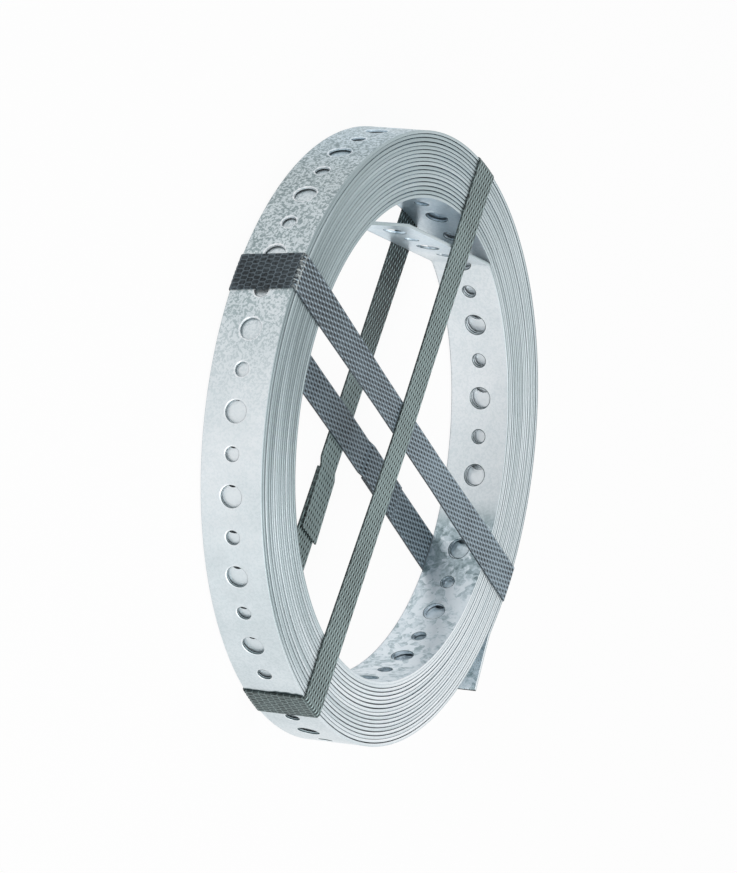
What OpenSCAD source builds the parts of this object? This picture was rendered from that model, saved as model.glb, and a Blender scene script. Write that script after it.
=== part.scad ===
// Coil of perforated metal strap, tied across with two flat packing bands.
//
// The coil lies on its end. Its axis is +Z, its lower end faces the floor at z = 0,
// wrap_band_outer runs along X and wrap_band_inner along Y.

/* [Strap] */
// Width of the steel strap, which is the height of the lying coil
strap_width = 25; // [20:0.5:30]
// Thickness of the steel
strap_thickness = 1; // [0.8:0.1:1.2]

/* [Coil] */
// Radius of the outermost turn where the tail leaves it
coil_radius = 119; // [110:1:130]
// How many times the strap passes the place where the tail leaves
passes = 18; // [12:1:20]
// Distance from one turn to the next
turn_pitch = 1.44; // [1.36:0.02:1.5]
// How deep the gaps between the turns are cut into the two ends of the coil
gap_depth = 3; // [1:0.5:6]
// Direction in which the tail leaves the coil, in degrees from +X
tail_angle = -97.3; // [-98:0.1:-97]
// Direction in which the inner end leaves the bore wall, in degrees from +X
inner_angle = -12.8; // [-20:0.1:-8]

/* [Holes] */
// Diameter of the large holes
large_hole_d = 8.5; // [7:0.1:9]
// Diameter of the small holes between them
small_hole_d = 5.5; // [4:0.1:6.5]
// Distance from a large hole to the next small one along the strap
hole_pitch = 15.5; // [14:0.1:17]
// Direction of the first large hole in the outermost turn
outer_hole_angle = 40; // [39.5:0.1:40.5]
// Distance from the bend of the inner end back to the first small hole of the bore wall
wall_hole_offset = 17.4; // [14:0.1:20]

/* [Inner end] */
// Angle of the bend where the strap leaves the bore wall
inner_bend = 34; // [32:0.1:34.5]
// Radius of that bend, to the middle of the steel
inner_bend_r = 4.5; // [3:0.5:6]
// Length from the bend to the slight kink
chord_length = 76.6; // [70:0.1:78]
// Angle of the kink
kink_angle = 10.1; // [6:0.1:12]
// Radius of the kink, to the middle of the steel
kink_r = 10; // [5:1:20]
// Length from the kink to the cut end
tip_length = 34.2; // [28:0.1:34.5]
// Distance from the bend to the large hole that it passes through
bend_hole_offset = 0.4; // [-1:0.1:1]

/* [Tail] */
// Length of the tail before it bends away from the coil
tail_start = 8; // [6:0.5:9]
// Angle by which the tail bends away
tail_bend = 15.2; // [8:0.1:20]
// Radius of that bend, to the middle of the steel
tail_bend_r = 12; // [6:1:20]
// Length from that bend to the cut end
tail_length = 23.7; // [22:0.1:30]

/* [Packing bands] */
// Width of the plastic bands
band_width = 15; // [12:0.5:19]
// Thickness of the plastic bands
band_thickness = 0.75; // [0.5:0.25:1]
// Radius on the outside of the bands where they fold over the coil's edges
band_fold_r = 1.25; // [1.25:0.25:2]
// How far the middle of wrap_band_outer lies from the coil's axis, along Y
outer_band_offset = 6.5; // [0:0.5:10]
// How far the middle of wrap_band_inner lies from the coil's axis, along X
inner_band_offset = 1.9; // [0:0.1:10]
// Length of the welded lap of wrap_band_outer
outer_lap_length = 26; // [20:1:34]
// Where its free end lies, along X
outer_lap_x = -48; // [-56:1:-12]
// Angle at which the free end lies askew, in degrees
outer_lap_turn = 2.5; // [-3:0.5:3]
// Length of the welded lap of wrap_band_inner
inner_lap_length = 32; // [20:1:34]
// Where its free end lies, along Y
inner_lap_y = -54; // [-80:1:-40]

/* [Hidden] */
$fn = 180;

// The coil stands on the bands, so its lower end is one band thickness up.
end_z = band_thickness;
top_z = end_z + strap_width;

// A flat spiral is drawn as half circles about two centres, half a pitch apart,
// on the line through the place where the tail leaves.
centre_shift = turn_pitch / 4;
half_step = turn_pitch / 2;
first_centre = centre_shift * [cos(tail_angle), sin(tail_angle)];
second_centre = -first_centre;
second_radius = coil_radius - half_step;

// Middle of the steel in the innermost turn: on the first half circle before the
// bend, on the second half circle, and on the first one past the bend.
wall_r = coil_radius - (passes - 1) * turn_pitch - strap_thickness / 2;
far_wall_r = second_radius - (passes - 2) * turn_pitch - strap_thickness / 2;
near_wall_r = coil_radius - (passes - 2) * turn_pitch - strap_thickness / 2;

// The straight parts are shorter than the sizes above by the tangents of the bends.
inner_bend_tangent = inner_bend_r * tan(inner_bend / 2);
kink_tangent = kink_r * tan(kink_angle / 2);
tail_tangent = tail_bend_r * tan(tail_bend / 2);

// The loose ends start a little inside the turn that they belong to, a hair nearer
// the axis than it, and run straight past its end, so that nothing in the joint
// coincides.
seam_overlap = 0.6;
seam_shift = 0.15;
seam_lead = 0.4;
corner_lead = seam_lead + inner_bend_tangent;
leave_angle = inner_angle - to_angle(corner_lead, wall_r);
bend_steps = 12;

// Holes are cut from this far outside the open face.
hole_clear = 1;

// Shapes that cut a band to its lane reach this far past the coil.
lane_clear = 5;

// The inner band is pushed aside over this much more than the outer band's width.
dip_margin = 2;

// The leg under the lap of the inner band rises towards the outer band, and the lap
// lies higher by this much.
inner_lap_rise = 0.2;

// The turns and the loose ends are made too wide by this much, and then all are
// trimmed together to the strap's width.
trim = 1;

steel = "#b9bdb9";
charcoal = "#565e60";

function to_angle(length, radius) = length * 180 / (PI * radius);
function is_even(i) = i % 2 == 0;
function hole_d(i) = is_even(i) ? large_hole_d : small_hole_d;

// Inner radius of turn i of n, counted from the bore, when the last one has its
// outside at radius r.
function turn_r(i, n, r) = r - (n - 1 - i) * turn_pitch - strap_thickness;

// Section of n turns: a solid middle with the edge of every turn standing up
// from both ends, left long by trim.
function turns_section(n, r) = [
    for (i = [0 : n - 1]) each [
        [turn_r(i, n, r), end_z - trim],
        [turn_r(i, n, r) + strap_thickness, end_z - trim],
        if (i < n - 1) [turn_r(i, n, r) + strap_thickness, end_z + gap_depth],
        if (i < n - 1) [turn_r(i + 1, n, r), end_z + gap_depth]
    ],
    for (i = [n - 1 : -1 : 0]) each [
        [turn_r(i, n, r) + strap_thickness, top_z + trim],
        [turn_r(i, n, r), top_z + trim],
        if (i > 0) [turn_r(i, n, r), top_z - gap_depth],
        if (i > 0) [turn_r(i - 1, n, r) + strap_thickness, top_z - gap_depth]
    ]
];

// n turns from angle a to angle b about a centre.
module turns_between(centre, n, r, a, b) {
    translate(centre)
        rotate_extrude(start = a, angle = b - a)
            polygon(turns_section(n, r));
}

// Three stretches make the whole coil. The innermost turn is there only up to
// the bend of the inner end.
module coil_turns() {
    turns_between(first_centre, passes, coil_radius, tail_angle, leave_angle);
    turns_between(first_centre, passes - 1, coil_radius, leave_angle, tail_angle + 180);
    turns_between(second_centre, passes - 1, second_radius, tail_angle + 180, tail_angle + 360);
}

// A hole of diameter d across the strap, at angle a about a centre, from radius
// low to radius high.
module wall_hole(centre, a, low, high, d) {
    translate(concat(centre, end_z + strap_width / 2))
        rotate(a)
            translate([low, 0, 0])
                rotate([0, 90, 0])
                    cylinder(h = high - low, d = d);
}

// Holes of the outermost turn, all the way round.
module outer_holes() {
    step = to_angle(hole_pitch, coil_radius);
    first = ceil((tail_angle - outer_hole_angle) / step);
    last = floor((tail_angle + 360 - outer_hole_angle) / step);
    for (i = [first : last]) {
        a = outer_hole_angle + i * step;
        on_first = a < tail_angle + 180;
        r = on_first ? coil_radius : second_radius;
        wall_hole(
            on_first ? first_centre : second_centre, a,
            r - strap_thickness, r + hole_clear, hole_d(i)
        );
    }
}

// Holes of the innermost turn, from the bend back round the bore wall.
module bore_wall_holes() {
    first_length = (inner_angle - tail_angle) * PI / 180 * wall_r;
    far_length = PI * far_wall_r;
    near_length = (tail_angle + 180 - inner_angle) * PI / 180 * near_wall_r;
    last = floor((first_length + far_length + near_length - wall_hole_offset) / hole_pitch);
    for (i = [0 : last - 1]) {
        s = wall_hole_offset + i * hole_pitch;
        if (s < first_length)
            bore_wall_hole(first_centre, inner_angle - to_angle(s, wall_r), wall_r, i + 1);
        else if (s < first_length + far_length)
            bore_wall_hole(
                second_centre, tail_angle - to_angle(s - first_length, far_wall_r),
                far_wall_r, i + 1
            );
        else
            bore_wall_hole(
                first_centre,
                tail_angle + 180 - to_angle(s - first_length - far_length, near_wall_r),
                near_wall_r, i + 1
            );
    }
}

module bore_wall_hole(centre, a, mid_r, i) {
    wall_hole(
        centre, a,
        mid_r - strap_thickness / 2 - hole_clear, mid_r + strap_thickness / 2, hole_d(i)
    );
}

// Loose strap is one outline along a path of short steps, each a [length, turn].
// A station on the path is [x, y, heading].
function go(at, step) = [
    at[0] + step[0] * cos(at[2] + step[1] / 2),
    at[1] + step[0] * sin(at[2] + step[1] / 2),
    at[2] + step[1]
];
function stations(at, steps, i = 0) =
    i == len(steps) ? [at] : concat([at], stations(go(at, steps[i]), steps, i + 1));
function straight(length) = [[length, 0]];
function bend(r, angle) = [
    for (i = [1 : bend_steps]) [2 * r * sin(abs(angle) / bend_steps / 2), angle / bend_steps]
];
function beside(at, distance) =
    [at[0] - distance * sin(at[2]), at[1] + distance * cos(at[2])];

// Strap of constant thickness along a path that starts at the origin along +Y, left
// long by two trims.
module loose_strap(steps) {
    path = stations([0, 0, 90], steps);
    last = len(path) - 1;
    translate([0, 0, end_z - 2 * trim])
        linear_extrude(strap_width + 4 * trim)
            polygon(concat(
                [for (i = [0 : last]) beside(path[i], strap_thickness / 2)],
                [for (i = [last : -1 : 0]) beside(path[i], -strap_thickness / 2)]
            ));
}

// A hole through the loose strap at distance y along it.
module through_hole(y, d) {
    translate([-2 * strap_thickness, y, end_z + strap_width / 2])
        rotate([0, 90, 0])
            cylinder(h = 4 * strap_thickness, d = d);
}

// Where the inner end leaves the bore wall.
module at_inner_end() {
    translate(first_centre)
        rotate(leave_angle)
            translate([wall_r, 0, 0])
                children();
}

// The corner of the inner end, turned along the straight part past it.
module at_chord() {
    at_inner_end()
        translate([0, corner_lead, 0])
            rotate(inner_bend)
                children();
}

// The corner of the kink, turned along the tip.
module at_tip() {
    at_chord()
        translate([0, chord_length, 0])
            rotate(kink_angle)
                children();
}

module inner_end() {
    at_inner_end()
        translate([-seam_shift, -seam_overlap, 0])
            loose_strap(concat(
                straight(seam_overlap + seam_lead),
                bend(inner_bend_r, inner_bend),
                straight(chord_length - inner_bend_tangent - kink_tangent),
                bend(kink_r, kink_angle),
                straight(tip_length - kink_tangent)
            ));
}

module inner_end_holes() {
    chord_holes = floor((chord_length - bend_hole_offset - large_hole_d / 2) / hole_pitch);
    at_chord()
        for (i = [1 : chord_holes])
            through_hole(bend_hole_offset + i * hole_pitch, hole_d(i));
    at_tip()
        for (i = [chord_holes + 1 : chord_holes + 3])
            through_hole(bend_hole_offset + i * hole_pitch - chord_length, hole_d(i));
}

// The large hole that the bend passes through, square to the bend's middle.
module bend_hole() {
    at_inner_end()
        translate([0, corner_lead, end_z + strap_width / 2])
            rotate(inner_bend / 2)
                translate([-3 * strap_thickness, bend_hole_offset, 0])
                    rotate([0, 90, 0])
                        cylinder(h = 3.2 * strap_thickness, d = large_hole_d);
}

// Where the outermost turn leaves the coil, with the tail running on along +Y.
module at_tail() {
    translate(first_centre)
        rotate(tail_angle + 180)
            translate([-(coil_radius - strap_thickness / 2), 0, 0])
                children();
}

module tail() {
    at_tail()
        translate([seam_shift, -seam_overlap, 0])
            loose_strap(concat(
                straight(seam_overlap + tail_start - tail_tangent),
                bend(tail_bend_r, tail_bend),
                straight(tail_length - tail_tangent)
            ));
}

module tail_holes() {
    // The holes go on at the same pitch from the last one in the outermost turn.
    step = to_angle(hole_pitch, coil_radius);
    first = ceil((tail_angle - outer_hole_angle) / step) - 1;
    first_y = (tail_angle - outer_hole_angle - first * step) * PI / 180 * coil_radius;
    at_tail()
        translate([0, tail_start, 0])
            rotate(tail_bend)
                for (i = [0 : 1])
                    through_hole(first_y + i * hole_pitch - tail_start, hole_d(first - i));
}

// Everything between the two planes that the strap's edges lie in.
module trimmed_to_width() {
    reach = coil_radius + tail_start + tail_length;
    intersection() {
        children();
        translate([-reach, -reach, end_z])
            cube([2 * reach, 2 * reach, strap_width]);
    }
}

// The holes of the turns are cut before the loose ends are joined on.
module coiled_strap() {
    color(steel)
        difference() {
            trimmed_to_width()
                union() {
                    difference() {
                        coil_turns();
                        outer_holes();
                        bore_wall_holes();
                    }
                    inner_end();
                    tail();
                }
            inner_end_holes();
            bend_hole();
            tail_holes();
        }
}

// Half section of a flat disc of radius r with rounded rim edges.
module disc_section(r, low, high, fold) {
    translate([0, low])
        square([r - fold, high - low]);
    translate([r - fold - 1, low + fold])
        square([fold + 1, high - low - 2 * fold]);
    for (z = [low + fold, high - fold])
        translate([r - fold, z])
            circle(fold);
}

// What a flat band covers of the coil's ends and rim about one centre.
module band_shell(centre, r) {
    translate(centre)
        rotate_extrude()
            difference() {
                disc_section(r + band_thickness, 0, top_z + band_thickness, band_fold_r);
                disc_section(r, end_z, top_z, band_fold_r - band_thickness);
            }
}

// The space that a band along X takes up, from x = from to x = to.
module band_lane(from, to, offset) {
    translate([from, offset - band_width / 2, -1])
        cube([to - from, band_width, top_z + 2]);
}

module wrap_band_outer() {
    reach = coil_radius + lane_clear;
    color(charcoal) {
        intersection() {
            band_shell(first_centre, coil_radius);
            band_lane(0, reach, outer_band_offset);
        }
        intersection() {
            band_shell(second_centre, second_radius);
            band_lane(-reach, 0, outer_band_offset);
        }
        // The free end is welded onto the inside of the lower leg.
        translate([outer_lap_x + outer_lap_length, outer_band_offset, band_thickness / 2])
            rotate(outer_lap_turn)
                translate([-outer_lap_length, -band_width / 2, 0])
                    cube([outer_lap_length, band_width, 1.5 * band_thickness]);
    }
}

// Outline of a leg of the inner band from y = -to to y = to, seen along X. It lies on
// the coil at height z, and beside the outer band it is pushed aside by dip.
module inner_band_leg(z, dip, to) {
    flat_low = outer_band_offset - band_width / 2 - dip_margin;
    flat_high = outer_band_offset + band_width / 2 + dip_margin;
    line = [[-to, 0], [1 - to, 0], [flat_low, dip], [flat_high, dip], [to - 1, 0], [to, 0]];
    translate([inner_band_offset - band_width / 2, 0, z])
        rotate([90, 0, 90])
            linear_extrude(band_width)
                polygon(concat(
                    line,
                    [for (i = [len(line) - 1 : -1 : 0]) line[i] + [0, band_thickness]]
                ));
}

module wrap_band_inner() {
    reach = coil_radius + lane_clear;
    joint = wall_r + 1;
    color(charcoal) {
        rotate(90)
            intersection() {
                rotate(-90)
                    band_shell(second_centre, second_radius);
                band_lane(joint, reach, -inner_band_offset);
            }
        rotate(90)
            intersection() {
                rotate(-90)
                    band_shell(first_centre, coil_radius);
                band_lane(-reach, -joint, -inner_band_offset);
            }
        inner_band_leg(0, band_thickness, joint + 1);
        inner_band_leg(top_z, -band_thickness, joint + 1);
        translate([
            inner_band_offset - band_width / 2, inner_lap_y, band_thickness + inner_lap_rise
        ])
            cube([band_width, inner_lap_length, band_thickness]);
    }
}

coiled_strap();
wrap_band_inner();
wrap_band_outer();
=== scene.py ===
import math
import bpy
import numpy as np
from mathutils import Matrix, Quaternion, Vector


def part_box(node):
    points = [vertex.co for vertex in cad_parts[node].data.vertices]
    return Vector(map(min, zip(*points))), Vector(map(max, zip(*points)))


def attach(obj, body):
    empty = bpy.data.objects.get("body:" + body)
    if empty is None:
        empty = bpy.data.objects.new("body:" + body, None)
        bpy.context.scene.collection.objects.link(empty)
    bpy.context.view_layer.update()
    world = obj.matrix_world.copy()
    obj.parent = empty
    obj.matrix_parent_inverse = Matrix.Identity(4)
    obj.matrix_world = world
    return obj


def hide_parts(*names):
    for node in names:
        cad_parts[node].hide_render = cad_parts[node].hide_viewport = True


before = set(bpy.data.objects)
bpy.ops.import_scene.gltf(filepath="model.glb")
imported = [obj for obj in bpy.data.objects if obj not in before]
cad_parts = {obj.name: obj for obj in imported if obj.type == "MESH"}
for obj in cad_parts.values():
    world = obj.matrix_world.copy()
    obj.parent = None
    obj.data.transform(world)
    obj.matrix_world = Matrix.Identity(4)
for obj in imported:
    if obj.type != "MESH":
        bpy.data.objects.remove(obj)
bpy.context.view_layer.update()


# ---- coiled_strap ------------------------------------------------------------------
# Steel strap 25 mm wide and 1 mm thick, slit from hot-dip galvanised sheet and punched
# with large and small holes by turns, then wound up on a mandrel. Both ends stay loose:
# the outer one stands off as a short tail, the inner one cuts across the bore.

mm = 0.001
strap_low, strap_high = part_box("coiled_strap")
strap_middle_z = (strap_low.z + strap_high.z) / 2
half_thickness = 0.5 * mm

tail_angle = math.radians(-97.3)
inner_angle = math.radians(-13.9)
mean_rim = 119.52
mean_pitch = 1.5195
oval_angle = math.radians(50.2)
whole_turns = 17
wound = whole_turns * math.tau + inner_angle - tail_angle
wound_step = math.radians(0.25)


def turn_radius(turned):
    """Radius of the middle of the steel, after the strap has turned by so much from the tail inwards.

    The coil is a little oval, off centre and looser on one side, and no turn is quite even. The inner
    turns are pressed in towards the bore, and lifted off each other where the inner end bends away.
    All of this is worked out in millimetres."""
    angle = tail_angle + turned
    oval = np.cos(2 * (angle + oval_angle))
    off_centre = np.cos(angle + math.radians(9.7))
    looser = np.cos(angle - math.radians(108.6))
    rim = mean_rim + 1.085 * oval - 0.55 * off_centre
    pitch = mean_pitch + 0.026 * oval + 0.086 * looser
    uneven = 0.07 * np.sin(0.83 * turned + 0.6) + 0.07 * np.sin(1.31 * turned + 2.1)
    uneven = uneven + 0.04 * np.sin(2.57 * turned)
    from_bend = np.degrees(wound - turned)
    pressed_in = np.interp(from_bend, [200, 400, 2300], [0, 0.42, 0])
    turns_back, past_bend = np.divmod(from_bend, 360)
    swell = np.sin(np.radians(1.5 * (past_bend + 20))) ** 2
    lifted = np.where(past_bend < 100, swell, 0) * 0.85**turns_back
    return (rim - pitch * turned / math.tau + uneven - pressed_in - 2.3 * lifted) * mm


def walk(place, heading, steps):
    """Points along loose strap from a place on. Each step is a length and an angle to turn by."""
    longest_part = 0.4 * mm
    points = []
    for length, turn in steps:
        parts = max(2, math.ceil(length / longest_part))
        for _ in range(parts):
            heading += turn / parts / 2
            place = place + length / parts * np.array([math.cos(heading), math.sin(heading)])
            heading += turn / parts / 2
            points.append(place)
    return np.array(points)


def bend(radius, angle):
    """The step that goes round a bend."""
    return (radius * abs(angle), angle)


turned = np.arange(0, wound, wound_step)
spiral_angle = tail_angle + turned
spiral = turn_radius(turned)[:, None] * np.stack([np.cos(spiral_angle), np.sin(spiral_angle)], 1)
spiral_run = np.concatenate([[0], np.cumsum(np.linalg.norm(np.diff(spiral, axis=0), axis=1))])

outward_step = spiral[0] - spiral[1]
tail_heading = math.atan2(outward_step[1], outward_step[0])
tail_lead = 6.4 * mm
tail_bend = bend(12 * mm, math.radians(15.2))
tail_tip = 22.1 * mm
tail = walk(spiral[0], tail_heading, [(tail_lead, 0), tail_bend, (tail_tip, 0)])

inward_step = spiral[-1] - spiral[-2]
inner_heading = math.atan2(inward_step[1], inward_step[0])
inner_lead = 0.4 * mm
inner_bend = bend(4.5 * mm, inner_angle + math.radians(90 + 34) - inner_heading)
chord = 74.3 * mm
kink = bend(10 * mm, math.radians(10.1))
inner_tip = 33.3 * mm
inner_steps = [(inner_lead, 0), inner_bend, (chord, 0), kink, (inner_tip, 0)]
inner_end = walk(spiral[-1], inner_heading, inner_steps)

# The strap's own coordinates are the run along it from the tail's cut end, the place
# across its width, and the height over the middle of the steel, outwards positive.
line = np.concatenate([tail[::-1], spiral, inner_end])
line_run = np.concatenate([[0], np.cumsum(np.linalg.norm(np.diff(line, axis=0), axis=1))])
line_step = np.gradient(line, line_run, axis=0)
line_heading = np.unwrap(np.arctan2(line_step[:, 1], line_step[:, 0]))
strap_length = line_run[-1]
spiral_start = line_run[len(tail)]
spiral_end = line_run[len(tail) + len(spiral) - 1]
bend_middle = spiral_end + inner_lead + inner_bend[0] / 2
kink_middle = spiral_end + inner_lead + inner_bend[0] + chord + kink[0] / 2

large_hole = 4.25 * mm
small_hole = 2.75 * mm
hole_pitch = 15.6 * mm
inner_hole_pitch = 15.5 * mm


def run_at(turned_by):
    """Run along the strap at which it has turned by so much."""
    return spiral_start + np.interp(turned_by, turned, spiral_run)


# A large hole lies 40 degrees round on the outermost turn, and one on the inner bend.
# The holes are counted from the first, and those with even numbers are large. Between
# the outer and the inner turns the pitch gives by a hair, so that the count comes out.
first_large = run_at(math.radians(40) - tail_angle)
end_margin = 2.5 * mm
outer_first = -math.floor((first_large - end_margin) / hole_pitch)
outer_last = 62
inner_first = -40
inner_last = math.floor((strap_length - bend_middle + large_hole / 2) / inner_hole_pitch)


def slip(n):
    """How far the press lets a hole slip, which is most in the second turn."""
    return np.interp(n, [31, 46, 55, 60], [0, 0.1 * mm, 0.2 * mm, 1.2 * mm])


outer_holes = [(first_large + n * hole_pitch + slip(n), n) for n in range(outer_first, outer_last + 1)]
bend_hole = bend_middle + 0.4 * mm
inner_holes = [(bend_hole + n * inner_hole_pitch, n) for n in range(inner_first, inner_last + 1)]
last_outer_run = outer_holes[-1][0]
unfilled = inner_holes[0][0] - last_outer_run
odd = (inner_first - outer_last) % 2
pitch_count = 2 * round((unfilled / hole_pitch - odd) / 2) + odd
step = unfilled / pitch_count
middle_holes = [(last_outer_run + n * step, outer_last + n) for n in range(1, pitch_count)]
all_holes = outer_holes + middle_holes + inner_holes
holes = [(run, large_hole if n % 2 == 0 else small_hole) for run, n in all_holes]

# One cell of the mesh holds one hole. Its border has as many points as the hole. The
# strap's two slit edges are rounded on the outer face and keep a burr on the inner. Each
# row of their profile is a height, a place across and a tilt.
cells_across = 6
face_half = 12.15 * mm
edge_profile = [
    (0.5, 12.15, 0),
    (0.51, 12.37, 18),
    (0.41, 12.47, 55),
    (0.1, 12.5, 84),
    (-0.5, 12.5, 92),
    (-0.68, 12.42, 140),
    (-0.5, 12.15, 180),
]

# The punch pulls the steel in round the hole's rim on the outer face and breaks out a
# little wider on the inner one. Each row is a radius over the hole's own, a height and a tilt.
rim_profile = [
    (0.9, 0.5, 0),
    (0.5, 0.48, 10),
    (0.12, 0.41, 45),
    (0, 0.23, 85),
    (0, -0.37, 90),
    (0.35, -0.5, 150),
]


class StripMesh:
    """Faces in the strap's own coordinates, each with the normals of its corners."""

    def __init__(self):
        self.points = []
        self.faces = []
        self.normals = []
        self.count = 0

    def add(self, points):
        self.points.append(points)
        self.count += len(points)
        return self.count - len(points)

    def face(self, corners, normals):
        self.faces.append(corners)
        self.normals.append(normals)


def border(start, end, along):
    """The cell's outline, point by point, from its corner at the start."""
    run = np.linspace(start, end, along + 1)
    across = np.linspace(-face_half, face_half, cells_across + 1)
    sides = [
        np.stack([run[:-1], np.full(along, -face_half)], 1),
        np.stack([np.full(cells_across, end), across[:-1]], 1),
        np.stack([run[:0:-1], np.full(along, face_half)], 1),
        np.stack([np.full(cells_across, start), across[:0:-1]], 1),
    ]
    return np.concatenate(sides)


def add_cell(mesh, start, end, centre, radius, along, rings, fine):
    """One hole with the steel round it, with so many rows of faces between rim and border."""
    outline = border(start, end, along)
    count = len(outline)
    first = -math.pi / 2 - along / 2 * math.tau / count
    angles = first + np.arange(count) * math.tau / count
    circle = np.stack([np.cos(angles), np.sin(angles)], 1)
    profile = rim_profile if fine else [(0, 0.5, 0), (0, -0.5, 0)]
    inwards = np.column_stack([-circle, np.zeros(count)])
    cut_off = centre + (radius + profile[0][0] * mm) * circle[:, 0] > strap_length

    def ring(reach, height):
        place = np.array([centre, 0]) + reach * circle
        place[:, 0] = np.minimum(place[:, 0], strap_length)
        return np.column_stack([place, np.full(count, height)])

    wall = []
    for over, height, tilt in profile:
        numbers = mesh.add(ring(radius + over * mm, height * mm))
        leaning = math.radians(tilt) if fine else math.pi / 2
        normals = math.sin(leaning) * inwards + np.array([0, 0, math.cos(leaning)])
        wall.append((numbers + np.arange(count), normals))
    for (upper, above), (lower, below) in zip(wall, wall[1:]):
        for i in range(count):
            j = (i + 1) % count
            if not (cut_off[i] and cut_off[j]):
                corners = [upper[i], upper[j], lower[j], lower[i]]
                mesh.face(corners, [above[i], above[j], below[j], below[i]])
    for side, rim in ((1, wall[0][0]), (-1, wall[-1][0])):
        over = profile[0 if side > 0 else -1][0]
        rows = [rim]
        for n in range(1, rings + 1):
            place = ring(radius + over * mm, side * half_thickness)
            place[:, :2] += (outline - place[:, :2]) * n / rings
            rows.append(mesh.add(place) + np.arange(count))
        for inner, outer in zip(rows, rows[1:]):
            for i in range(count):
                j = (i + 1) % count
                if cut_off[i] and cut_off[j] and outline[i, 0] == outline[j, 0]:
                    continue
                corners = [inner[i], inner[j], outer[j], outer[i]]
                mesh.face(corners if side < 0 else corners[::-1], [(0, 0, side)] * 4)
    add_edges(mesh, np.linspace(start, end, along + 1))


def burr(run):
    """How far the slit edge leans out over the inner face.

    On two sides of the coil it nearly closes the gap to the next turn, and the innermost turn has
    only a fine burr."""
    turned_to = np.interp(run - spiral_start, spiral_run, turned)
    angle = tail_angle + turned_to
    next_turn = np.minimum(turned_to + math.tau, wound)
    gap = turn_radius(next_turn - math.tau) - turn_radius(next_turn) - 2 * half_thickness
    one_side = np.clip(np.cos(angle - math.radians(72)), 0, 1) ** 8
    other_side = np.clip(np.cos(angle - math.radians(325)), 0, 1) ** 5
    share = 0.31 + 0.52 * (one_side + other_side)
    fine_burr = 0.18 * mm
    return np.where(turned_to + math.tau > wound, fine_burr, share * gap)


def profile_point(place, side, run):
    """Place across and height of a point of the slit edge's profile."""
    height = -half_thickness - burr(run) if place[0] < -0.5 else place[0] * mm
    return (side * place[1] * mm, height)


def add_edges(mesh, run):
    """The two slit edges of a stretch of strap."""
    for side in (1, -1):
        rows = []
        for place in edge_profile:
            across, height = profile_point(place, side, run)
            row = np.column_stack([run, np.full(len(run), across), np.broadcast_to(height, run.shape)])
            rows.append(mesh.add(row) + np.arange(len(run)))
        for k in range(len(rows) - 1):
            tilts = [math.radians(edge_profile[k + n][2]) for n in (0, 1)]
            normals = [(0, side * math.sin(tilt), math.cos(tilt)) for tilt in tilts]
            for i in range(len(run) - 1):
                corners = [rows[k][i], rows[k][i + 1], rows[k + 1][i + 1], rows[k + 1][i]]
                shade = [normals[0], normals[0], normals[1], normals[1]]
                mesh.face(corners if side > 0 else corners[::-1], shade if side > 0 else shade[::-1])


def add_cut_end(mesh, run, direction, notch):
    """The sheared end of the strap. Where it passes through a hole it is in two parts."""
    across = np.linspace(-face_half, face_half, cells_across + 1)
    edges = [[profile_point(place, side, run) for place in edge_profile] for side in (1, -1)]
    if notch is None:
        outlines = [
            [(place, half_thickness) for place in across]
            + edges[0][1:-1]
            + [(place, -half_thickness) for place in across[::-1]]
            + edges[1][-2:0:-1]
        ]
    else:
        outlines = [
            [(side * notch, half_thickness)] + edge + [(side * notch, -half_thickness)]
            for side, edge in zip((1, -1), edges)
        ]
    for k, outline in enumerate(outlines):
        first = mesh.add(np.array([(run, across, height) for across, height in outline]))
        corners = list(first + np.arange(len(outline)))
        turned_over = (direction > 0) == (k == 1)
        mesh.face(corners[::-1] if turned_over else corners, [(direction, 0, 0)] * len(corners))


# Rims are rounded only where they are in sight, on the outer and the inner turns. Cells
# have more rows where the strap bends within them.
strip = StripMesh()
ends = [0] + [(a[0] + b[0]) / 2 for a, b in zip(holes, holes[1:])] + [strap_length]
outer_fine = run_at(math.radians(450))
inner_fine = spiral_end - 750 * mm
for (centre, radius), start, end in zip(holes, ends, ends[1:]):
    fine = end < outer_fine or start > inner_fine
    bent = [abs(middle - centre) < hole_pitch / 2 for middle in (bend_middle, kink_middle)]
    if bent[0]:
        along, rings = 24, 6
    elif bent[1] or start < spiral_start:
        along, rings = 12, 3
    elif fine:
        along, rings = 6, 1
    else:
        along, rings = 4, 1
    add_cell(strip, start, end, centre, radius, along, rings, fine)

# The inner end's cut runs through the last hole, which leaves an open notch. It reaches
# as far across as the last of the rim's points that lie beyond the cut.
last_centre, last_radius = holes[-1]
notch = None
if last_centre + last_radius > strap_length:
    angles = np.arange(0, math.pi / 2, math.tau / (2 * (along + cells_across)))
    reach = last_radius + rim_profile[0][0] * mm
    beyond = [reach * math.sin(a) for a in angles if last_centre + reach * math.cos(a) > strap_length]
    notch = max(beyond)
add_cut_end(strip, 0, -1, None)
add_cut_end(strip, strap_length, 1, notch)


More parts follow.
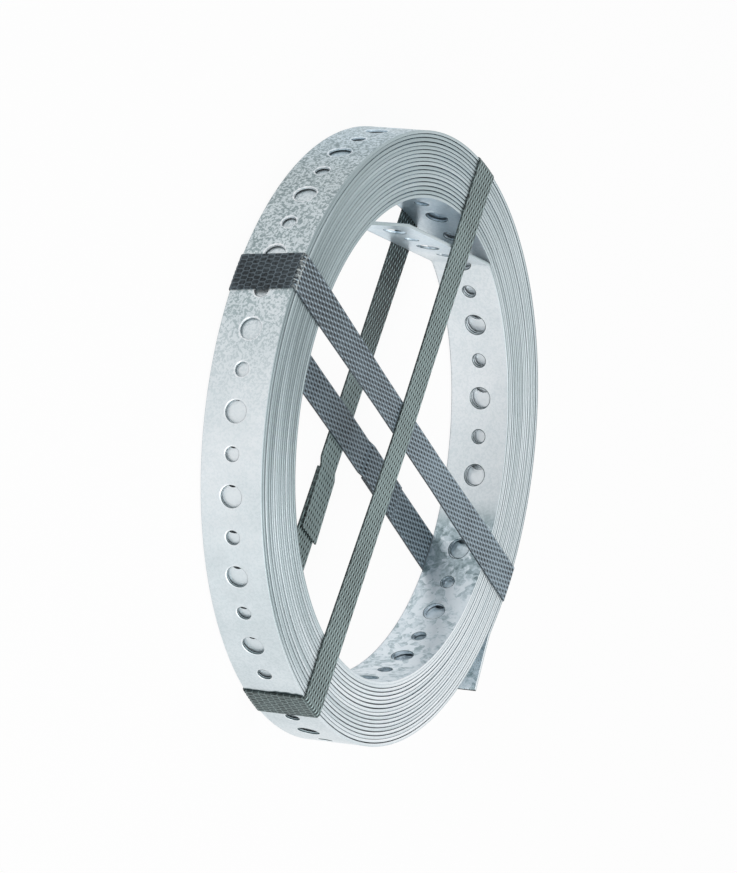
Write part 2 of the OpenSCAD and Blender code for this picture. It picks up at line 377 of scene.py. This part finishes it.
def wound_up(strip):
    """The strip's mesh once it is wound, with the points that coincide made one."""
    points = np.concatenate(strip.points)
    rounded = np.round(points / (2e-3 * mm))
    _, kept, number = np.unique(rounded, axis=0, return_index=True, return_inverse=True)
    number = number.ravel()
    own = points[kept]
    heading = np.interp(own[:, 0], line_run, line_heading)
    outward = np.stack([np.sin(heading), -np.cos(heading)], 1)
    flat = np.stack([np.interp(own[:, 0], line_run, line[:, k]) for k in (0, 1)], 1)
    flat = flat + outward * own[:, 2:3]
    mean_radius = 107 * mm
    turned_by = (own[:, 0] - spiral_start) / mean_radius
    sway = 0.08 * np.sin(0.37 * turned_by + 1) + 0.07 * np.sin(1.13 * turned_by)
    placed = np.column_stack([flat, strap_middle_z + own[:, 1] + sway * mm])
    faces = [[int(number[corner]) for corner in face] for face in strip.faces]
    corners = np.concatenate(strip.faces)
    shade = np.concatenate([np.array(n, float) for n in strip.normals])
    at = np.interp(points[corners, 0], line_run, line_heading)
    along = np.stack([np.cos(at), np.sin(at)])
    out = np.stack([np.sin(at), -np.cos(at)])
    normals = np.column_stack([*(shade[:, 0] * along + shade[:, 2] * out), shade[:, 1]])
    normals /= np.linalg.norm(normals, axis=1)[:, None]
    return placed, faces, normals, points[corners, :2], own[:, 2] / half_thickness


def new_object(name, points, faces, uv):
    """A smooth mesh in the scene, with its own strip coordinates."""
    mesh = bpy.data.meshes.new(name)
    mesh.from_pydata(points.tolist(), [], faces)
    uv = np.ascontiguousarray(uv, np.float32).ravel()
    mesh.uv_layers.new(name="strip").data.foreach_set("uv", uv)
    mesh.shade_smooth()
    piece = bpy.data.objects.new(name, mesh)
    bpy.context.scene.collection.objects.link(piece)
    return piece


points, faces, normals, uv, height = wound_up(strip)
coil = new_object("perforated_strap", points, faces, uv)
coil.data.normals_split_custom_set(normals.tolist())
height_attribute = coil.data.attributes.new("height", "FLOAT", "POINT")
height_attribute.data.foreach_set("value", height.astype(np.float32))


class Value:
    """A shader socket. Arithmetic on it adds Math nodes, and node() adds any other node."""

    def __init__(self, tree, socket=None):
        self.tree = tree
        self.socket = socket

    def node(self, kind, settings=None, sockets=None, output=0, stops=None):
        """A new node of a kind. If this is a socket, it goes to the node's first socket."""
        new = self.tree.nodes.new("ShaderNode" + kind)
        for name, setting in (settings or {}).items():
            setattr(new, name, setting)
        if stops:
            ramp = new.color_ramp.elements
            while len(ramp) < len(stops):
                ramp.new(0.5)
            for element, (position, colour) in zip(ramp, stops):
                element.position = position
                element.color = (*colour, 1)
        if self.socket:
            sockets = {0: self, **(sockets or {})}
        for name, value in (sockets or {}).items():
            if isinstance(value, Value):
                self.tree.links.new(value.socket, new.inputs[name])
            else:
                new.inputs[name].default_value = value
        return Value(self.tree, new.outputs[output] if new.outputs else None)

    def math(self, operation, other=0.0):
        return self.node("Math", {"operation": operation}, {1: other})

    def __add__(self, other):
        return self.math("ADD", other)

    def __sub__(self, other):
        return self.math("SUBTRACT", other)

    def __rsub__(self, other):
        return self.node("Math", {"operation": "SUBTRACT"}, {0: other, 1: self})

    def __mul__(self, other):
        return self.math("MULTIPLY", other)

    def __truediv__(self, other):
        return self.math("DIVIDE", other)

    __radd__ = __add__
    __rmul__ = __mul__

    def between(self, low, high):
        """0 at low, 1 at high and smooth between them."""
        return self.node("MapRange", {"interpolation_type": "SMOOTHSTEP"}, {1: low, 2: high})

    def ramp(self, stops):
        return self.node("ValToRGB", stops=stops)

    def colour(self, low, high):
        """A mix of two colours by this value."""
        return self.node("Mix", {"data_type": "RGBA"}, {6: low, 7: high}, output=2)

    def split(self):
        return [self.node("SeparateXYZ", output=k) for k in range(3)]


def new_material(name):
    """An empty material, and the place in its tree where nodes are added from."""
    material = bpy.data.materials.new(name)
    material.use_nodes = True
    material.node_tree.nodes.clear()
    return material, Value(material.node_tree)


def grey(level, tint=(1, 1, 1)):
    return (level * tint[0], level * tint[1], level * tint[2], 1)


# The run along the strap where the outermost turn ends, and where the innermost begins.
second_turn = run_at(math.tau)
last_turn = spiral_end - 590 * mm


def galvanised_steel():
    """Zinc over steel: speckled where it cooled fast, in soft flakes elsewhere, with sheared edges, and
    with painted light and shade.
    """
    material, start = new_material("galvanised_steel")
    strip_place = start.node("UVMap", {"uv_map": "strip"})
    run, across, _ = strip_place.split()
    place = start.node("TexCoord", output=3)
    x, y, _ = place.split()
    height = start.node("Attribute", {"attribute_name": "height"}, output=2)
    radius = (x * x + y * y).math("SQRT")
    outside = radius.between(110 * mm, 115 * mm)
    inside = 1 - outside
    fade = 5 * mm
    first_turn = run.between(second_turn, second_turn - fade)
    innermost_turn = run.between(last_turn, last_turn + fade)
    on_tail = run.between(spiral_start, spiral_start - fade)

    def facing(direction):
        """Cosine of the angle between the place's own direction from the axis and this one."""
        angle = math.radians(direction)
        return (x * math.cos(angle) + y * math.sin(angle)) / radius

    def towards(direction, near, far):
        """1 as far as near degrees from a direction, and 0 from far degrees on."""
        return facing(direction).between(math.cos(math.radians(far)), math.cos(math.radians(near)))

    def noise(vector, scale, detail, output=0):
        sockets = {"Vector": vector, "Scale": scale, "Detail": detail, "Roughness": 0.62}
        return start.node("TexNoise", {}, sockets, output)

    wobble = noise(place, 150.0, 2.0, 1).node("VectorMath", {"operation": "SCALE"}, {"Scale": 6 * mm})
    wobbly = strip_place.node("VectorMath", {"operation": "ADD"}, {1: wobble})

    def grains(scale):
        sockets = {"Vector": wobbly, "Scale": scale}
        return start.node("TexVoronoi", {"feature": "F1"}, sockets, 1).split()[0]

    # The zinc's own pattern: crystals, fine mottle, frost between the crystals and clouds.
    tone = grains(310.0)
    mottle = noise(place, 900.0, 2.5)
    speckle = (mottle + 0.25 * grains(1250.0)).between(0.56, 0.73)
    frost = noise(wobbly, 420.0, 3.0).between(0.35, 0.7)
    clouds = noise(place, 30.0, 3.0).between(0.4, 0.65)

    # The coil's outside is speckled on one side and painted darker there as painted shade. Its bore is
    # flaky on the other side, with painted shade in one place and on the tail.
    mottled_and_shaded = towards(38, 42, 82) * outside
    flaky = (towards(240, 35, 42) * inside).math("MAXIMUM", on_tail)
    painted_shade = towards(272, 5, 13) * inside + 0.6 * on_tail
    # Turns seen only through holes get half the pattern and painted shade, which paints them lighter
    # against their shade.
    pattern_share_painted_light = 0.5 + 0.5 * first_turn.math("MAXIMUM", innermost_turn)
    pattern = 0.14 * mottled_and_shaded + (0.06 + 0.32 * mottled_and_shaded) * speckle + (0.08 + 0.02 * mottled_and_shaded) * clouds
    pattern = pattern + flaky * (0.5 * tone + 0.36 * frost - 0.4) + 0.25 * painted_shade
    # Painted shade: the whole outside is a little darker, and more so on the side towards 165 degrees.
    face = 0.97 - pattern_share_painted_light * pattern - (0.03 + 0.1 * towards(165, 15, 45)) * outside

    # A frayed dark line of painted shadow lies along the outer band where it folds over one rim.
    frayed = y + 3 * mm * (noise(place, 200.0, 1.0) - 0.5)
    beside_band = frayed.between(13.6 * mm, 14 * mm) * frayed.between(15.7 * mm, 14.9 * mm)
    painted_band_shadow = beside_band * (-1 * x).between(100 * mm, 110 * mm) * outside
    face = face * (1 - 0.97 * painted_band_shadow * first_turn)

    # Round a hole the steel gets a painted highlight where it rolls over, and painted shade in the
    # punched wall and in a thin line along the rim on the inner face.
    roll_end = 0.6 - 1.5 * mottled_and_shaded
    painted_rim_highlight = height.between(1, 0.93) * height.between(roll_end, roll_end + 0.2) * outside
    face = face + painted_rim_highlight * (0.08 + 0.4 * mottled_and_shaded)
    wall_start = height.between(0.8 - 1.6 * mottled_and_shaded, 0.6 - 1.55 * mottled_and_shaded)
    punched = wall_start * height.between(-1, 0.5 - 1.46 * mottled_and_shaded) * outside
    painted_rim_shade = height.between(-1, -0.96) * height.between(-0.72, -0.8) * inside
    face = face * (1 - (0.97 - 0.5 * mottled_and_shaded) * punched) * (1 - 0.8 * painted_rim_shade)

    # The slit edges are duller than the faces and in streaks. Painted light and shade make them darker
    # on one side of the coil, lighter on others, and lighter or darker across each edge's rounding.
    # leaning is how far a place faces 117 degrees round the axis, and it steers the painted light on
    # the edges.
    leaning = facing(117)
    streaks = (1 + 1.2 * towards(117, 20, 60)) * (noise(strip_place, 6.0, 2.0) - 0.5)
    streaks = streaks + 0.3 * (mottle - 0.5)
    painted_edge_light = (0.36 * leaning - 0.1) * height.math("MAXIMUM", -1.36)
    slit = (0.61 - 0.172 * facing(50)) * (1.02 + painted_edge_light + streaks) - 0.18 * leaning * leaning
    slit = slit - 0.14 * towards(297, 10, 45) + 0.05 * towards(207, 15, 55) + 0.06 * towards(45, 20, 60)
    edge = across.math("ABSOLUTE").between(12.2 * mm, 12.45 * mm)
    level = face + edge * (slit - face)

    shades = [
        (0, (0.03, 0.055, 0.062)),
        (0.5, (0.385, 0.465, 0.485)),
        (0.8, (0.66, 0.725, 0.755)),
        (1, (0.84, 0.875, 0.9)),
    ]
    cool = (0.8 * towards(27, 10, 40) + 0.45 * flaky) * (1 - edge)
    multiply = {"data_type": "RGBA", "blend_type": "MULTIPLY"}
    zinc = cool.node("Mix", multiply, {6: level.ramp(shades), 7: (0.86, 0.97, 1.04, 1)}, 2)
    roughness = 0.3 + 0.1 * tone + 0.08 * speckle + 0.1 * edge
    sockets = {"Base Color": zinc, "Metallic": 0.8, "Roughness": roughness}
    start.node("BsdfPrincipled", {}, sockets).node("OutputMaterial")
    return material


coil.data.materials.append(galvanised_steel())
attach(coil, "root")
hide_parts("coiled_strap")


# ---- wrap_band_outer ---------------------------------------------------------------
# Flat packing band of charcoal polypropylene, embossed with a fine net. It is pulled taut
# once round the whole coil, and its two ends are welded in a lap on the back. It was put
# on last, so it runs over the other band.

band_half = 7.5 * mm
band_thickness = 0.75 * mm
fold_radius = 0.5 * mm
net_along = 5.24 * mm
net_across = 2 * mm
emboss = 0.2 * mm
lane_count = 30
lanes = np.linspace(-band_half, band_half, lane_count + 1)
rows_in_net = 8
free_reach = 92 * mm
necking_reach = 60 * mm
lap_ramp = 5 * mm
lap_gap = 0.25 * mm

rim_turned = np.arange(0, math.tau, wound_step)
rim_radius = turn_radius(rim_turned) + half_thickness


def rim_reach(beside, direction):
    """How far off the coil's outer face is along a direction, on a line so far left of the axis."""
    angle = np.full(np.shape(beside), direction, float)
    for _ in range(6):
        away = np.interp((angle - tail_angle) % math.tau, rim_turned, rim_radius)
        angle = direction + np.arcsin(beside / away)
    return away * np.cos(angle - direction)


def band_route(direction, beside, free_end, lap, askew):
    """Where a band runs, before it is narrowed, pushed aside and embossed.

    It gives the length along the band at each row of points and at the start of the lap, and then
    for each row and lane the reach along the direction, the place across it, the height, and the
    angle that the outer face looks at."""
    low, high = strap_low.z + fold_radius, strap_high.z - fold_radius
    near = rim_reach(-(beside[0] + beside[1]) / 2 - lanes, direction + math.pi) - fold_radius
    far = rim_reach((beside[2] + beside[3]) / 2 + lanes, direction) - fold_radius
    lap_start = free_end + lap
    middle = lane_count // 2
    share = (lap_start + near[middle]) / (near + far)[middle]
    at_lap = beside[0] + share * (beside[3] - beside[0])
    stops = [
        (lap_start + 0 * lanes, at_lap, low),
        (-near, beside[0], low),
        (-near, beside[1], high),
        (far, beside[2], high),
        (far, beside[3], low),
        (lap_start + 0 * lanes, at_lap, low),
        (free_end + 0 * lanes, at_lap - lap * math.tan(askew), low),
    ]

    # The band goes straight from each stop to the next, with a fold at each of the coil's edges.
    quarter = math.pi / 2
    arc = (fold_radius + band_thickness / 2) * quarter
    folds = 4
    parts = []
    for k, (a, b) in enumerate(zip(stops, stops[1:])):
        facing = -quarter * min(k + 1, folds + 1)
        length = math.hypot(b[0][middle] - a[0][middle], b[2] - a[2])
        parts.append((length, a, b, facing, facing))
        if k < folds:
            parts.append((arc, b, b, facing, facing - quarter))
    marks = np.concatenate([[0], np.cumsum([part[0] for part in parts])])
    steps = rows_in_net * round(marks[-1] / net_along)
    along = np.linspace(0, marks[-1], steps + 1)
    reach, across, height, facing = np.zeros((4, steps + 1, lane_count + 1))
    for k, (length, a, b, facing_a, facing_b) in enumerate(parts):
        rows = (along >= marks[k]) & (along <= marks[k + 1])
        share = ((along[rows] - marks[k]) / length)[:, None]
        reach[rows] = a[0] + share * (b[0] - a[0])
        across[rows] = a[1] + share * (b[1] - a[1])
        height[rows] = a[2] + share * (b[2] - a[2])
        facing[rows] = facing_a + share * (facing_b - facing_a)
    return along, marks[-2], reach, across, height, facing


def closed_sheet(shape):
    """Faces of a sheet with an inner and an outer layer of so many rows and lanes of points."""
    inner = np.arange(math.prod(shape)).reshape(shape)
    outer = inner + inner.size
    faces = []
    for numbers in (inner[:, ::-1], outer):
        quads = [numbers[:-1, :-1], numbers[:-1, 1:], numbers[1:, 1:], numbers[1:, :-1]]
        faces.append(np.stack(quads, 2).reshape(-1, 4))
    selvedges = [(inner[:, 0], outer[:, 0]), (outer[:, -1], inner[:, -1])]
    cut_ends = [(outer[0], inner[0]), (inner[-1], outer[-1])]
    for a, b in selvedges + cut_ends:
        faces.append(np.stack([a[:-1], b[:-1], b[1:], a[1:]], 1))
    return np.concatenate(faces)


def band_mesh(name, direction, beside, free_end, lap, askew, pushed):
    """One band along a direction, as a strip that starts in the lap on the back and ends there.

    beside is how far its middle lies to the left of the axis, at the near rim on the back and the
    front and then at the far rim on the front and the back. free_end is where it ends, along the
    direction, after a lap of that length that turns askew. pushed is by how much the front and the
    back leg stand off for the other band, and where."""
    route = band_route(direction, beside, free_end, lap, askew)
    along, lap_mark, reach, across, height, facing = route

    # The pull narrows the two legs where they span the bore, and the lap lies on the leg.
    free_span = np.clip((free_reach - np.abs(reach)) / necking_reach, 0, 1)
    front = np.clip(np.sin(facing), 0, 1) ** 8
    back = np.clip(-np.sin(facing), 0, 1) ** 8
    across += lanes * (1 - free_span * (0.12 * front + 0.06 * back))
    in_lap = np.clip((along[:, None] - lap_mark + lap_ramp) / lap_ramp, 0, 1)
    stand_off = -in_lap * in_lap * (3 - 2 * in_lap) * (band_thickness + lap_gap)
    for (amount, at), leg in zip(pushed, (front, back)):
        beyond = np.clip(np.abs(reach - at) - band_half - 1 * mm, 0, None)
        stand_off = stand_off + amount * leg * np.clip(1 - beyond / (free_reach - np.abs(at)), 0, 1)

    # The net is pressed into both faces, less so into the inner one, and not at the selvedge.
    to_selvedge = np.clip((band_half - np.abs(lanes)) / (1 * mm) - 0.3, 0, 1)
    net_a = along[:, None] / net_along + lanes / net_across
    net_b = along[:, None] / net_along - lanes / net_across
    pits = emboss * to_selvedge * np.abs(np.cos(math.pi * net_a) * np.cos(math.pi * net_b))
    ahead = np.array([math.cos(direction), math.sin(direction)])
    left = np.array([-ahead[1], ahead[0]])

    sheets = []
    for lift in (0.6 * pits, band_thickness - pits):
        lift = lift + stand_off + fold_radius
        flat = (reach + lift * np.cos(facing))[..., None] * ahead + across[..., None] * left
        raised = (height + lift * np.sin(facing))[..., None]
        sheets.append(np.concatenate([flat, raised], 2).reshape(-1, 3))
    faces = closed_sheet(reach.shape)
    grid = np.stack(np.broadcast_arrays(along[:, None], lanes), 2).reshape(-1, 2)
    grid = np.concatenate([grid, grid])
    piece = new_object(name, np.concatenate(sheets), faces.tolist(), grid[faces].reshape(-1, 2))
    piece.data.set_sharp_from_angle(angle=math.radians(50))
    return piece


def embossed_plastic(name, dark, light, painted_light, white_fold):
    """Charcoal plastic with painted shade in the pits of its net and painted glints on its ridges.

    The function passed for the legs gives painted light, which makes them lighter or darker from place
    to place. With white_fold the plastic is white in flecks where it is folded hardest."""
    material, start = new_material(name)
    along, across, _ = start.node("UVMap", {"uv_map": "strip"}).split()
    place = start.node("TexCoord", output=3)
    x, y, z = place.split()
    _, _, up = start.node("NewGeometry", output=1).split()

    def off_row(share, spacing):
        """Distance to the nearest of the rows that lie at whole numbers of the share."""
        return (share - share.math("ROUND")).math("ABSOLUTE") * spacing

    # The pits lie in two sets, one half a pitch on from the other both ways.
    ahead = [off_row(along / net_along + shift, net_along) for shift in (0, 0.5)]
    beside = [off_row(across / net_across + shift, net_across) for shift in (0, 0.5)]
    squares = [a * a + b * b for a, b in zip(ahead, beside)]
    difference = squares[0] - squares[1]
    in_second = difference.math("GREATER_THAN", 0.0)
    from_pit = squares[0].math("MINIMUM", squares[1]).math("SQRT")
    to_other_set = difference.math("ABSOLUTE") / math.hypot(net_along, net_across)
    to_same_set = net_across / 2 - (beside[0] + in_second * (beside[1] - beside[0]))
    ahead_of_pit = ahead[0] + in_second * (ahead[1] - ahead[0])
    # The ridges are painted lighter as painted highlights, the pits darker as painted shade, and glints
    # are painted just off the pits.
    ridge = to_other_set.math("MINIMUM", to_same_set).between(0.32 * mm, 0.06 * mm)
    in_net = across.math("ABSOLUTE").between(7.3 * mm, 6.8 * mm)
    painted_pit_shade = from_pit.between(0.92 * mm, 0.25 * mm) * in_net
    painted_glint = ahead_of_pit.between(1.1 * mm, 0.2 * mm) * to_same_set.between(0.4 * mm, 0.05 * mm)

    grain = start.node("TexNoise", {}, {"Vector": place, "Scale": 1100.0, "Detail": 2.0})
    haze = start.node("TexNoise", {}, {"Vector": place, "Scale": 60.0, "Detail": 2.0})
    # Painted light: the legs, which face up and down, are painted lighter than the wraps over the rims.
    wrap = 0.1 + 0.22 * ridge
    leg = (0.26 + painted_light(x, y, z)) * (1 - painted_pit_shade) + 0.1 * ridge + 0.9 * painted_glint
    on_leg = up.math("ABSOLUTE").between(0.5, 0.9)
    level = wrap + on_leg * (leg - wrap) + 0.35 * (grain - 0.5) + 0.3 * (haze - 0.5)
    base = level.colour(dark, light)
    if white_fold:
        fold = z.between(strap_high.z - 0.9 * mm, strap_high.z - 0.2 * mm)
        fold = fold * y.between(117.2 * mm, 118.2 * mm)
        flecks = fold * (0.3 + ridge) * grain.between(0.46, 0.52)
        base = flecks.colour(base, (0.55, 0.6, 0.6, 1))
    sockets = {"Base Color": base, "Roughness": 0.55 - 0.2 * ridge, "Specular IOR Level": 0.2}
    start.node("BsdfPrincipled", {}, sockets).node("OutputMaterial")
    return material


crossing_x = 2 * mm
crossing_y = 6.6 * mm
outer_band = band_mesh(
    "outer_packing_band",
    0,
    [crossing_y] * 4,
    free_end=-48 * mm,
    lap=26 * mm,
    askew=math.radians(2.5),
    pushed=[(0.8 * mm, crossing_x), (0, crossing_x)],
)


def outer_painted_light(x, y, z):
    """Painted light: the legs are painted lighter towards their middle, and the back one round its lap.
    """
    on_back = z.between(4 * mm, 1 * mm)
    middle = x.math("ABSOLUTE").between(80 * mm, 20 * mm)
    return 0.04 + 0.1 * middle + (0.14 - 0.4 * x.between(0, 60 * mm)) * on_back


outer_band.data.materials.append(
    embossed_plastic(
        "outer_band_plastic",
        grey(0.012, (0.8, 1, 1)),
        grey(0.6, (0.76, 1, 1)),
        outer_painted_light,
        white_fold=False,
    )
)
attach(outer_band, "root")
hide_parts("wrap_band_outer")


# ---- wrap_band_inner ---------------------------------------------------------------
# The same band put on first, square to the other one. It lies a little askew, gives way
# to the other band on the back, and has gone white where it is folded hardest.

inner_band = band_mesh(
    "inner_packing_band",
    math.pi / 2,
    [1.4 * mm, -1.1 * mm, -3 * mm, -0.3 * mm],
    free_end=-53.5 * mm,
    lap=32 * mm,
    askew=math.radians(-1),
    pushed=[(0, crossing_y), (-0.8 * mm, crossing_y)],
)


def inner_painted_light(x, y, z):
    """Painted light: the front leg is painted lighter towards one end, and the back one all along."""
    on_back = z.between(4 * mm, 1 * mm)
    return 0.2 * y.between(50 * mm, -30 * mm) * z.between(0, 20 * mm) + 0.14 * on_back - 0.02


inner_band.data.materials.append(
    embossed_plastic(
        "inner_band_plastic",
        grey(0.012, (0.8, 1, 1.15)),
        grey(0.5, (0.78, 1, 1.16)),
        inner_painted_light,
        white_fold=True,
    )
)
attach(inner_band, "root")
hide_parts("wrap_band_inner")


# ---- floor -------------------------------------------------------------------------
# A plain white floor that the coil lies on. It shows as white of its own accord, and
# enough of its matt paint stays to keep a faint soft shadow.


def seen_directly(start):
    """1 for what is seen straight on, in a gloss or through clear parts, and 0 for what only lights."""
    camera = start.node("LightPath", output="Is Camera Ray")
    glossy = start.node("LightPath", output="Is Glossy Ray")
    clear = start.node("LightPath", output="Is Transmission Ray")
    return camera.math("MAXIMUM", glossy).math("MAXIMUM", clear)


floor_half = 4.0
floor_corners = [(-1, -1, 0), (1, -1, 0), (1, 1, 0), (-1, 1, 0)]
floor_points = np.array(floor_corners) * floor_half
floor = new_object("floor", floor_points, [[0, 1, 2, 3]], floor_points[:, :2])
floor_material, start = new_material("white_floor")
matt = start.node("BsdfDiffuse", {}, {"Color": grey(0.8)})
glow = start.node("Emission", {}, {"Color": grey(1.0), "Strength": 1.0})
glow_share = 0.94
white = start.node("MixShader", {}, {0: seen_directly(start) * glow_share, 1: matt, 2: glow})
white.node("OutputMaterial")
floor.data.materials.append(floor_material)


# ---- light and camera --------------------------------------------------------------
# A plain studio: one large soft lamp low at the side, a weaker one overhead and a white
# surround that lights at about half of what it shows. The camera is rolled on its side.

world = bpy.data.worlds.new("studio")
bpy.context.scene.world = world
world.use_nodes = True
world.node_tree.nodes.clear()
start = Value(world.node_tree)
direct = seen_directly(start)
surround_light = 0.55
strength = direct + (1 - direct) * surround_light
sky = start.node("Background", {}, {"Color": grey(1.0), "Strength": strength})
sky.node("OutputWorld")

coil_centre = Vector((0, 0, strap_middle_z))


def soft_lamp(name, place, size, power):
    """A round area lamp that points at the coil."""
    lamp = bpy.data.lights.new(name, "AREA")
    lamp.shape = "DISK"
    lamp.size = size
    lamp.energy = power
    holder = bpy.data.objects.new(name, lamp)
    holder.location = place
    holder.rotation_euler = (coil_centre - Vector(place)).to_track_quat("-Z", "Y").to_euler()
    bpy.context.scene.collection.objects.link(holder)


soft_lamp("low_soft_lamp", (-1.3, 0.35, 0.4), 1.6, 11)
soft_lamp("overhead_soft_lamp", (-0.3, 0.2, 1.7), 1.8, 9)

camera = bpy.data.objects.new("camera", bpy.data.cameras.new("camera"))
bpy.context.scene.collection.objects.link(camera)
camera.data.lens = 230.8
camera.data.sensor_width = 36
camera.location = (-0.8856, 1.7171, 0.94225)
aim = Vector((-0.0011, 0.0010, 0.0103))
looking = (aim - camera.location).to_track_quat("-Z", "Y")
roll = Quaternion((0, 0, 1), math.radians(95.5))
camera.rotation_mode = "QUATERNION"
camera.rotation_quaternion = looking @ roll
bpy.context.scene.camera = camera
bpy.context.scene.view_settings.view_transform = "Standard"
